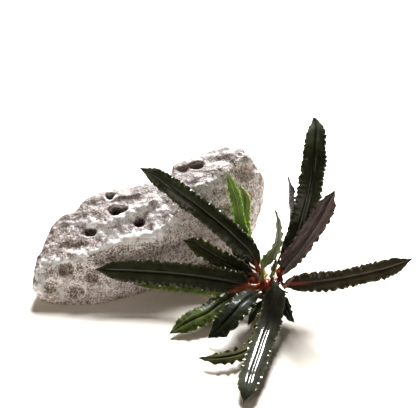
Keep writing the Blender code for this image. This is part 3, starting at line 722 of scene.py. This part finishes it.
def stone_material():
    """Pale wet limestone: white crust on its ridges, brown stains, deep holes with painted shade,
    sparkling grain, and painted light and shade by the way each face looks.
    """
    graph = Graph("pitted stone")
    plus, times, ramp, mix = graph.plus, graph.times, graph.ramp, graph.mix
    crust, stain, grainy = graph.values("stone_marks")
    hole = graph.value("stone_hole")
    relief = graph.value("stone_relief")
    painted_light = graph.value("stone_clean")
    broad = graph.noise(11, detail=4, roughness=0.6)
    medium = graph.noise(3.2, detail=4, roughness=0.65)
    mottle = graph.noise(1.9, detail=3, roughness=0.7)
    fine = graph.noise(0.9, detail=3, roughness=0.6)
    grain = graph.noise(0.8, detail=3, roughness=0.8)
    grey, warm_grey, white, brown, speck, pit, deep = map(colour_of, STONE_COLOURS.values())

    ragged = graph.swing(medium, 1.6)
    colour = mix(ramp(broad, 0.35, 0.65), grey, warm_grey)
    colour = mix(ramp(plus(stain, ragged), 0.2, 0.85), colour, brown)
    crusted = plus(plus(crust, times(ragged, 0.9)), times(relief, 0.4))
    colour = mix(ramp(crusted, 0.35, 1.05), colour, white)
    colour = graph.scaled(colour, ramp(mottle, 0.36, 0.62, 0.6, 1.3))
    sunken = ramp(times(relief, -1), 0.12, 0.6)
    colour = mix(times(sunken, 0.6), colour, brown)

    rim = times(ramp(hole, 0.005, 0.05), ramp(hole, 0.08, 0.25, 0.7, 0))
    rim = times(rim, ramp(medium, 0.38, 0.55))
    colour = mix(rim, colour, white)
    # Holes turn brown, partly stain and partly painted shade.
    colour = mix(ramp(hole, 0.1, 0.6, 0, 0.9), colour, pit)

    coarse = plus(times(grainy, 0.5), 0.5)
    # Grains show less on the faces that the painted light darkens.
    coarse = times(coarse, ramp(painted_light, -0.55, 0.1, 0.35, 1))
    dark_grains = times(ramp(grain, 0.47, 0.39, 0, 0.7), coarse)
    colour = mix(dark_grains, colour, speck)
    clumps = plus(grain, graph.swing(mottle, 0.3))
    white_grains = times(ramp(clumps, 0.5, 0.56), coarse)
    white_grains = times(white_grains, ramp(hole, 0.2, 0.8, 1, 0.3))
    colour = mix(white_grains, colour, white)
    # Painted shade: the deepest part of a hole goes nearly black.
    colour = mix(ramp(hole, 0.75, 1), colour, deep)
    # Painted light and shade: each face is painted paler or darker by which way it looks.
    colour = graph.scaled(colour, ramp(painted_light, -0.5, 0.4, 0.76, PAINTED_LIGHT_GAIN))

    roughness = ramp(medium, 0.3, 0.7, 0.65, 0.42)
    graph.surface({"Base Color": colour, "Roughness": roughness})
    rough = plus(times(fine, 0.7), times(grain, 0.3))
    graph.bump(rough, depth=0.6, strength=1)
    return graph.material


def leaf_material(name, look):
    """A wet leaf: slanting veins, dark lines along it, white highlights painted on its margins, a
    petiole and its rib.
    """
    graph = Graph(name)
    plus, times, ramp, mix = graph.plus, graph.times, graph.ramp, graph.mix
    deep, light, under, margin, midrib, petiole = map(colour_of, look[:6])
    across, along, share = graph.values("leaf_place")
    crest, blade, upper = graph.values("leaf_look")
    aside = graph.math("ABSOLUTE", across)
    from_midrib = times(aside, graph.value("leaf_half_width"))
    blotch = graph.noise(5, detail=3, roughness=0.6)
    speck = graph.noise(1.1, detail=2, roughness=0.6)

    slant = graph.math("SUBTRACT", along, times(aside, VEIN_LEAN))
    wander = times(graph.noise(3, detail=1, roughness=0.5), VEIN_WANDER)
    phase = times(plus(slant, wander), 2 * math.pi / VEIN_SPACING)
    vein = plus(times(graph.math("SINE", phase), 0.5), 0.5)
    streak_place = graph.flat_place(times(across, STREAKS * MM), times(along, STREAK_STRETCH * MM))
    streak = graph.noise(1, detail=2, roughness=0.6, place=streak_place)

    patches = ramp(blotch, 0.5 - look.spread, 0.5 + look.spread, 0, 0.6)
    tone = plus(patches, times(vein, 0.2))
    tone = plus(tone, ramp(streak, 0.4, 0.6, 0, 0.35), clamp=True)
    colour = mix(tone, deep, light)
    underside = mix(blotch, tuple(0.8 * c for c in under), under)
    underside = graph.scaled(underside, ramp(streak, 0.4, 0.58, 0.4, 1.35))
    colour = mix(ramp(upper, 0.4, 0.6), underside, colour)
    foot = ramp(share, 0.18, 0.5, 1 - look.low, 0)
    colour = mix(foot, colour, tuple(0.3 * c for c in deep))
    edge = times(ramp(aside, 0.76, 0.98), ramp(speck, 0.3, 0.6, 0.2, 1))
    colour = mix(edge, colour, margin)
    colour = mix(ramp(from_midrib, 0.16, 0.4, 0.85, 0), colour, midrib)

    rib = ramp(share, 0.4 * look.rib, look.rib, 1, 0)
    rib = times(rib, ramp(from_midrib, 0.45, 0.85, 1, 0))
    bare = times(ramp(blade, 0.05, 0.3, 1, 0), ramp(share, 0.4, 0.5, 1, 0))
    stalk = graph.math("MAXIMUM", rib, bare)
    if look.base:
        reach = plus(plus(share, times(across, 0.08)), graph.swing(speck, 0.06))
        stalk = graph.math("MAXIMUM", stalk, ramp(reach, 0.75 * look.base, look.base, 1, 0))
    colour = mix(stalk, colour, petiole)
    # Painted highlights: white glints painted on the margin's ruffle crests, in broken spots.
    broken = ramp(graph.noise(1.3, detail=1, roughness=0.5), 0.53, 0.57)
    painted_glint = times(ramp(crest, 0.5, 0.8), broken)
    colour = mix(times(painted_glint, look.flecks), colour, PAINTED_GLINT_COLOUR)

    graph.surface({
        "Base Color": colour,
        "Roughness": ramp(blotch, 0.3, 0.7, look.gloss * 0.75, look.gloss * 1.25),
        "Specular IOR Level": look.shine,
        "Coat Weight": look.coat,
        "Coat Roughness": FILM_ROUGHNESS,
    })
    if look.glow:
        graph.surface({
            "Subsurface Weight": look.glow,
            "Subsurface Radius": GLOW_COLOUR,
            "Subsurface Scale": GLOW_DEPTH * MM,
        })
    height = plus(times(vein, 0.6), times(speck, 0.9))
    graph.bump(height, depth=0.09, strength=0.5)
    return graph.material


def rhizome_material():
    """Glossy deep red stem with darker leaf scars."""
    graph = Graph("rhizome")
    blotch = graph.noise(2.5, detail=3, roughness=0.6)
    colour = graph.mix(graph.ramp(blotch, 0.3, 0.7), *map(colour_of, RHIZOME_COLOURS))
    colour = graph.mix(graph.times(graph.value("scar"), 0.7), colour, colour_of(SCAR_COLOUR))
    graph.surface({
        "Base Color": colour,
        "Roughness": graph.ramp(blotch, 0.3, 0.7, 0.35, 0.5),
        "Specular IOR Level": 0.2,
        "Coat Weight": 0.04,
        "Coat Roughness": 0.15,
    })
    graph.bump(graph.noise(0.6, detail=3, roughness=0.6), depth=0.15, strength=0.5)
    return graph.material


def worn_blocks():
    """Both blocks melted into one skin, worn smooth and divided finely."""
    blocks = bpy.data.meshes.new("stone blocks")
    shape = bmesh.new()
    for corners in (LEFT_BLOCK, RIGHT_BLOCK):
        placed = [shape.verts.new(Vector(corner) * MM) for corner in corners]
        bmesh.ops.convex_hull(shape, input=placed)
    shape.to_mesh(blocks)
    shape.free()
    rough = add_object("stone blocks", blocks)
    remesh = rough.modifiers.new("one skin", "REMESH")
    remesh.mode = "VOXEL"
    remesh.voxel_size = VOXEL * MM
    smooth = rough.modifiers.new("worn edges", "SMOOTH")
    smooth.factor = 0.5
    smooth.iterations = STONE_SMOOTHING
    rough.modifiers.new("finer faces", "SUBSURF").levels = 1
    evaluated = rough.evaluated_get(bpy.context.evaluated_depsgraph_get())
    mesh = bpy.data.meshes.new_from_object(evaluated)
    bpy.data.objects.remove(rough, do_unlink=True)
    return mesh


def triples(items, field):
    """A mesh's places or normals, one row for each point."""
    numbers = np.empty(len(items) * 3, np.float32)
    items.foreach_get(field, numbers)
    return numbers.reshape(-1, 3).astype(float)


def averaged(mesh, values, rounds):
    """Values averaged with their neighbours' a number of times."""
    ends = np.empty(len(mesh.edges) * 2, np.int32)
    mesh.edges.foreach_get("vertices", ends)
    first, second = ends.reshape(-1, 2).T
    count = len(values)
    links = np.bincount(ends, minlength=count).astype(float)
    for _ in range(rounds):
        total = np.bincount(first, values[second], count)
        total += np.bincount(second, values[first], count)
        values = total / links
    return values


def stone_heights(points, crust, grainy):
    """How far the stone stands out at each point, and how deep in a hole the point is, weighted by
    the hole's painted shade.
    """
    height = lumps_at(points, BROAD_LUMPS)
    height += lumps_at(points, SMALL_LUMPS)
    ragged = sum(lumps_at(points, lumps) for lumps in HOLE_EDGE_LUMPS)
    hole = np.zeros(len(points))
    for hollow in HOLLOWS.values():
        away = (points - hollow.place) / hollow.reach
        nearness = np.clip(1 - np.sum(away * away, axis=1), 0, 1)
        height -= hollow.depth * nearness**HOLLOW_CURVE
        if hollow.hole:
            depth = eased((nearness + ragged - HOLE_STARTS_AT) / HOLE_WALL) * (nearness > 0)
            height -= hollow.hole * depth
            hole_painted_shade = min(1, HOLE_PAINTED_SHADE + HOLE_PAINTED_SHADE_PER_MM * hollow.hole)
            hole = np.maximum(hole, depth * hole_painted_shade)
    for ridge in RIDGES.values():
        height += line_strength(points, ridge)
    for spacing, octaves, plain, crusted, coarse in GRAINS:
        size = plain + crusted * crust + coarse * grainy
        height += size * noise_at(points, spacing, octaves)
    return height, hole


def make_stone():
    """The pitted stone, cut flat where it rests."""
    mesh = worn_blocks()
    points = triples(mesh.vertices, "co") / MM
    normals = triples(mesh.vertex_normals, "vector")
    marks = [line_mask(points, lines) for lines in (WHITE_CRUST, BROWN_STAIN, GRAINY)]
    crust, _, grainy = marks
    height, hole = stone_heights(points, crust, grainy)
    moved = (points + normals * height[:, None]) * MM
    mesh.vertices.foreach_set("co", moved.astype(np.float32).ravel())
    mesh.update()
    set_values(mesh, "stone_marks", np.column_stack(marks))
    # How deep in a hole each point is, for the brown and the painted shade of holes.
    set_values(mesh, "stone_hole", hole)
    # Which way each point faces, for the painted light and shade.
    set_values(mesh, "stone_clean", normals @ PAINTED_LIGHT_SIDE)
    set_values(mesh, "stone_relief", height - averaged(mesh, height, RELIEF_ROUNDS))

    shape = bmesh.new()
    shape.from_mesh(mesh)
    everything = [*shape.verts, *shape.edges, *shape.faces]
    bmesh.ops.bisect_plane(
        shape, geom=everything, plane_co=(0, 0, 0), plane_no=(0, 0, 1), clear_inner=True
    )
    rim = [edge for edge in shape.edges if edge.is_boundary]
    bmesh.ops.triangle_fill(shape, edges=rim, normal=(0, 0, -1))
    shape.to_mesh(mesh)
    shape.free()
    add_piece("stone_surface", mesh, stone_material(), "stone", "stone")


def blade_shape(share, leaf):
    """How much of the full blade width a leaf has at each share of its length."""
    along = np.clip((share - leaf.petiole) / (1 - leaf.petiole), 0, 1)
    opening = np.sin(0.5 * math.pi * np.clip(along / leaf.opens, 0, 1)) ** OPENING_POWER
    closing = 1 - np.clip((along - leaf.narrows) / (1 - leaf.narrows), 0, 1) ** CLOSING_POWER
    return opening * closing


def petiole_width(leaf):
    return min(max(PETIOLE_SHARE * leaf.width, PETIOLE_LIMITS[0]), PETIOLE_LIMITS[1])


def stem_near(place):
    """The point of the stem's middle line nearest to a place, and the stem's radius there."""
    found = []
    for (start, start_radius), (end, end_radius) in zip(RHIZOME, RHIZOME[1:]):
        start, run = Vector(start), Vector(end) - Vector(start)
        share = max(0, min(1, (place - start).dot(run) / run.length_squared))
        middle = start + run * share
        radius = start_radius + (end_radius - start_radius) * share
        found.append(((place - middle).length, middle, radius))
    return min(found)[1:]


def rooted_places(leaf):
    """A leaf's places, the first one moved to where its petiole stands on the stem's skin."""
    first, face = Vector(leaf.places[0]), Vector(leaf.faces[0])
    middle, radius = stem_near(first)
    outward = (first - middle).normalized()
    along = (Vector(leaf.places[1]) - first).normalized()
    side = along.cross(face).normalized()
    over = side.cross(along)
    turned = abs(side.dot(outward)) + PETIOLE_FLATNESS * abs(over.dot(outward))
    reach = radius * SCAR_REACH + STEM_CLEARANCE + 0.5 * petiole_width(leaf) * turned
    return (tuple(middle + outward * reach), *leaf.places[1:])


def wave_along(run, period, seed):
    """A wave between about -1 and 1 along a margin, with ruffles of unlike length and height."""
    drift = noise_at([(s / (RUFFLE_DRIFT.spacing * period), seed, 0.5) for s in run], 1)
    growth = noise_at([(s / (RUFFLE_GROWTH.spacing * period), seed, 7.5) for s in run], 1)
    size = np.clip(1 + RUFFLE_GROWTH.height * growth, *RUFFLE_LIMITS)
    return np.sin(2 * math.pi * (run / period + RUFFLE_DRIFT.height * drift)) * size


def skin(rings):
    """A closed mesh around rings of points."""
    count, around = rings.shape[:2]
    i, j = np.meshgrid(np.arange(count - 1), np.arange(around), indexing="ij")
    k = (j + 1) % around
    this, following = i * around, (i + 1) * around
    corners = np.stack([this + j, following + j, following + k, this + k], axis=-1)
    faces = corners.reshape(-1, 4).tolist()
    faces.append(list(range(around)))
    faces.append([(count - 1) * around + j for j in reversed(range(around))])
    mesh = bpy.data.meshes.new("skin")
    mesh.from_pydata((rings.reshape(-1, 3) * MM).tolist(), [], faces)
    return mesh


def leaf_frame(leaf):
    """Points along a leaf's middle, where its upper side and right margin face, its length."""
    places = rooted_places(leaf)
    count = round(smooth_curve(places, 2)[1] / STEP_LENGTH) + 1
    spine, length = smooth_curve(places, count)
    along = unit(np.gradient(spine, axis=0))
    turn = eased(np.linspace(0, 1, count))[:, None]
    faces = (1 - turn) * np.array(leaf.faces[0], float) + turn * np.array(leaf.faces[1], float)
    normal = unit(faces - np.sum(faces * along, axis=1)[:, None] * along)
    return spine, normal, np.cross(along, normal), length


def margin_shape(leaf, run, blade, period, seed):
    """How far a margin swings up and down, and how much wider its lobes make it."""
    coarse = wave_along(run, period, seed + 0.1)
    fine = FINE_RUFFLE * wave_along(run, FINE_RUFFLE_LENGTH * period, seed + 1.7)
    lobes = np.abs(wave_along(run + 0.3 * period, 2 * period, seed + 2.9))
    lobes = LOBE_WIDTH * lobes**LOBE_ROUNDNESS - 1
    swing = (coarse + fine) * blade * leaf.ruffle
    return swing, 1 + SCALLOP * leaf.ruffle * blade * (lobes + fine)


def rooted(rings, foot):
    """A leaf's rings of points, and more from its foot down into the stem."""
    inward = stem_near(foot)[0] - foot
    deepest = min(ROOT_DEPTH, inward.length) / inward.length
    depths = np.linspace(deepest, 0, ROOT_STEPS, endpoint=False)
    return np.concatenate([rings[0] + depths[:, None, None] * np.array(inward), rings])


def make_leaf(name, leaf, seed):
    """A ruffled strap leaf: grooved midrib, two low crests beside it, crinkled thin margins."""
    spine, normal, side, length = leaf_frame(leaf)
    count = len(spine)
    share = np.linspace(0, 1, count)
    run = share * length

    openings = OWN_OPENINGS.get(name, (leaf.opens, leaf.opens))
    blades = [blade_shape(share, leaf._replace(opens=opens)) for opens in openings]
    blade = np.maximum(*blades)
    stalk = petiole_width(leaf)
    flare = 1 + PETIOLE_FLARE * np.clip(1 - run / (PETIOLE_FLARE_RUN * stalk), 0, 1) ** 2
    point = np.clip((1 - share) * length / TIP_RUN, 0, 1) ** TIP_ROUNDNESS
    opened = eased(blade * THINNING)
    half_thick = 0.5 * (stalk * PETIOLE_FLATNESS * flare * (1 - opened) + BLADE_THICKNESS * opened)

    swings, widths, plain_widths = [], [], []
    for margin, period in enumerate(OWN_RUFFLE_LENGTHS.get(name, RUFFLE_LENGTHS)):
        half_width = 0.5 * (stalk * flare + (leaf.width - stalk) * blades[margin])
        swing, scallop = margin_shape(leaf, run, blade, period, 10 * seed + 5 * margin)
        swings.append(swing)
        widths.append(np.maximum(half_width * scallop * point, TIP_HALF_WIDTH))
        plain_widths.append(np.maximum(half_width * point, TIP_HALF_WIDTH))

    steps = np.linspace(1, -1, POINTS_ACROSS)
    bunched = MIDDLE_STEPS + (1 - MIDDLE_STEPS) * steps**2
    across = np.sin(0.5 * math.pi * steps * bunched)
    aside = np.abs(across)[None, :]

    def on_both_sides(margins):
        """Each margin's values on its own side of the midrib."""
        return np.where(across[None, :] < 0, margins[0][:, None], margins[1][:, None])

    swing, widths, plain_widths = map(on_both_sides, (swings, widths, plain_widths))
    half_thick = np.minimum(half_thick[:, None], widths * THICKNESS_LIMIT)
    margin = eased((aside - RUFFLE_STARTS_AT) / (1 - RUFFLE_STARTS_AT)) ** RUFFLE_CURVE
    flat_places = [(s, c * w, seed) for s, row in zip(run, widths) for c, w in zip(across, row)]
    crinkle = noise_at(flat_places, CRINKLE_LENGTH, 2).reshape(count, -1)
    blade = blade[:, None]

    profile = OWN_PROFILES.get(name, Profile())
    bend = (aside * widths / plain_widths) ** profile.lateness
    crest = aside / CREST_AT * np.exp(1 - aside / CREST_AT)
    height = blade * plain_widths * (leaf.cup * bend + profile.crest * crest)
    height = height + RUFFLE_HEIGHT * profile.ruffling * swing * margin
    crinkling = CRINKLE_HEIGHT * profile.ruffling
    height = height + crinkling * crinkle * blade * (CRINKLE_INSIDE + margin)

    from_midrib = aside * widths
    look = LOOKS[leaf.look]
    lens = np.sqrt(1 - aside**2)
    rounding = lens * (1 - EDGE_THINNING * aside * blade)
    fold = np.exp(-(from_midrib / profile.groove) ** 2) * blade
    keel = KEEL_HEIGHT * np.exp(-(from_midrib / KEEL_HALF_WIDTH) ** 2) * blade
    ribbed = np.clip(RIB_REACH - share / look.rib, 0, 1)[:, None]
    depth = MIDRIB_DEPTH * profile.groove / MIDRIB_HALF_WIDTH
    midrib = fold * lens * (RIB_HEIGHT * ribbed - depth * (1 - ribbed))
    upper = height + half_thick * rounding + midrib
    lower = height - half_thick * rounding - keel * lens

    flat = spine[:, None] + side[:, None] * (across[None, :] * widths)[..., None]
    top = flat + normal[:, None] * upper[..., None]
    bottom = flat + normal[:, None] * lower[..., None]
    rings = np.concatenate([top, bottom[:, -2:0:-1]], axis=1)
    mesh = skin(rooted(rings, Vector(spine[0])))

    def around(above, below):
        """Values for all points, across the upper side and back along the lower."""
        above, below = (np.broadcast_to(values, widths.shape) for values in (above, below))
        rows = np.concatenate([above, below[:, -2:0:-1]], axis=1)
        return np.concatenate([np.repeat(rows[:1], ROOT_STEPS, axis=0), rows]).ravel()

    run, share, lifted = run[:, None], share[:, None], swing * margin
    place = [around(values, values) for values in (across, run, share)]
    facts = [around(lifted, -lifted), around(blade, blade), around(1, 0)]
    set_values(mesh, "leaf_place", np.column_stack(place))
    set_values(mesh, "leaf_look", np.column_stack(facts))
    set_values(mesh, "leaf_half_width", around(widths, widths))
    add_piece(name + "_fine", mesh, leaf_material(name, look), name, look.slot)


def make_rhizome():
    """The creeping stem with ring scars where old leaves grew."""
    count = RHIZOME_STATIONS
    places = np.array([place for place, _ in RHIZOME], float)
    spine, length = smooth_curve(places, count)
    steps = run_along(places)
    radii = [radius for _, radius in RHIZOME]
    radii = np.interp(np.linspace(0, steps[-1], count), steps, radii)[:, None]
    along = unit(np.gradient(spine, axis=0))
    across = unit(np.cross(along, (0.3, -0.6, 0.2)))
    over = np.cross(along, across)
    angles = np.linspace(0, 2 * math.pi, RHIZOME_SIDES, endpoint=False)
    around = across[:, None] * np.cos(angles)[:, None] + over[:, None] * np.sin(angles)[:, None]
    smooth = spine[:, None] + around * radii[..., None]
    lumps = noise_at(smooth.reshape(-1, 3), RHIZOME_LUMPS.spacing, RHIZOME_LUMPS.octaves)
    lumps = lumps.reshape(count, -1)
    run = np.linspace(0, length, count)[:, None]
    run = run + SCAR_WANDER * lumps + SCAR_SLANT * np.sin(angles)
    scar = np.exp(-(((run / SCAR_SPACING) % 1 - 0.5) / SCAR_WIDTH) ** 2)
    radius = radii * (1 + RHIZOME_LUMPS.height * lumps) - SCAR_DEPTH * scar
    ending = (np.linspace(0, 1, count) * 1.02 - 0.02).clip(0.9, 1)
    rounding = np.sqrt(np.clip(1 - ending**20, 0.02, 1))
    mesh = skin(spine[:, None] + around * (radius * rounding[:, None])[..., None])
    mesh.flip_normals()
    set_values(mesh, "scar", scar.ravel())
    add_piece("rhizome_fine", mesh, rhizome_material(), "rhizome", "rhizome")


def make_floor():
    """A plain pale floor, which isn't part of the object."""
    bpy.ops.mesh.primitive_plane_add(size=FLOOR_SIZE_METRES, location=(0, 0, -FLOOR_GAP * MM))
    floor = bpy.context.object
    floor.name = "floor"
    graph = Graph("floor")
    graph.surface({"Base Color": FLOOR_COLOUR, "Roughness": 0.9, "Specular IOR Level": 0.1})
    floor.data.materials.append(graph.material)


def make_studio():
    """Soft light from above and behind, with a weak fill in front and all around."""
    target = Vector(CAMERA_TARGET) * MM
    for name, (direction, distance, size, power, colour) in LAMPS.items():
        light = bpy.data.lights.new(name, "AREA")
        light.shape = "DISK"
        light.color = colour
        light.size = size
        light.energy = power
        box = add_object(name, light)
        box.location = target + Vector(direction).normalized() * distance
        box.rotation_mode = "QUATERNION"
        box.rotation_quaternion = Vector(direction).to_track_quat("Z", "Y")
    world = bpy.data.worlds.new("studio")
    world.use_nodes = True
    background = world.node_tree.nodes["Background"]
    background.inputs["Color"].default_value = (*WARM, 1)
    background.inputs["Strength"].default_value = WORLD_STRENGTH
    bpy.context.scene.world = world
    bpy.context.scene.view_settings.view_transform = "Standard"


def make_camera():
    """A long lens that looks down on the object, square to the stone's length."""
    camera = bpy.data.cameras.new("camera")
    camera.lens = CAMERA_LENS
    camera.clip_start = CLIP_START_METRES
    eye = add_object("camera", camera)
    back = Vector((0, -math.cos(CAMERA_ELEVATION), math.sin(CAMERA_ELEVATION)))
    eye.location = (Vector(CAMERA_TARGET) + back * CAMERA_DISTANCE) * MM
    eye.rotation_euler = (math.pi / 2 - CAMERA_ELEVATION, 0, 0)
    bpy.context.scene.camera = eye


def main():
    make_camera()
    make_studio()
    make_floor()
    make_stone()
    make_rhizome()
    for seed, (name, leaf) in enumerate(LEAVES.items()):
        make_leaf(name, leaf, seed)


main()
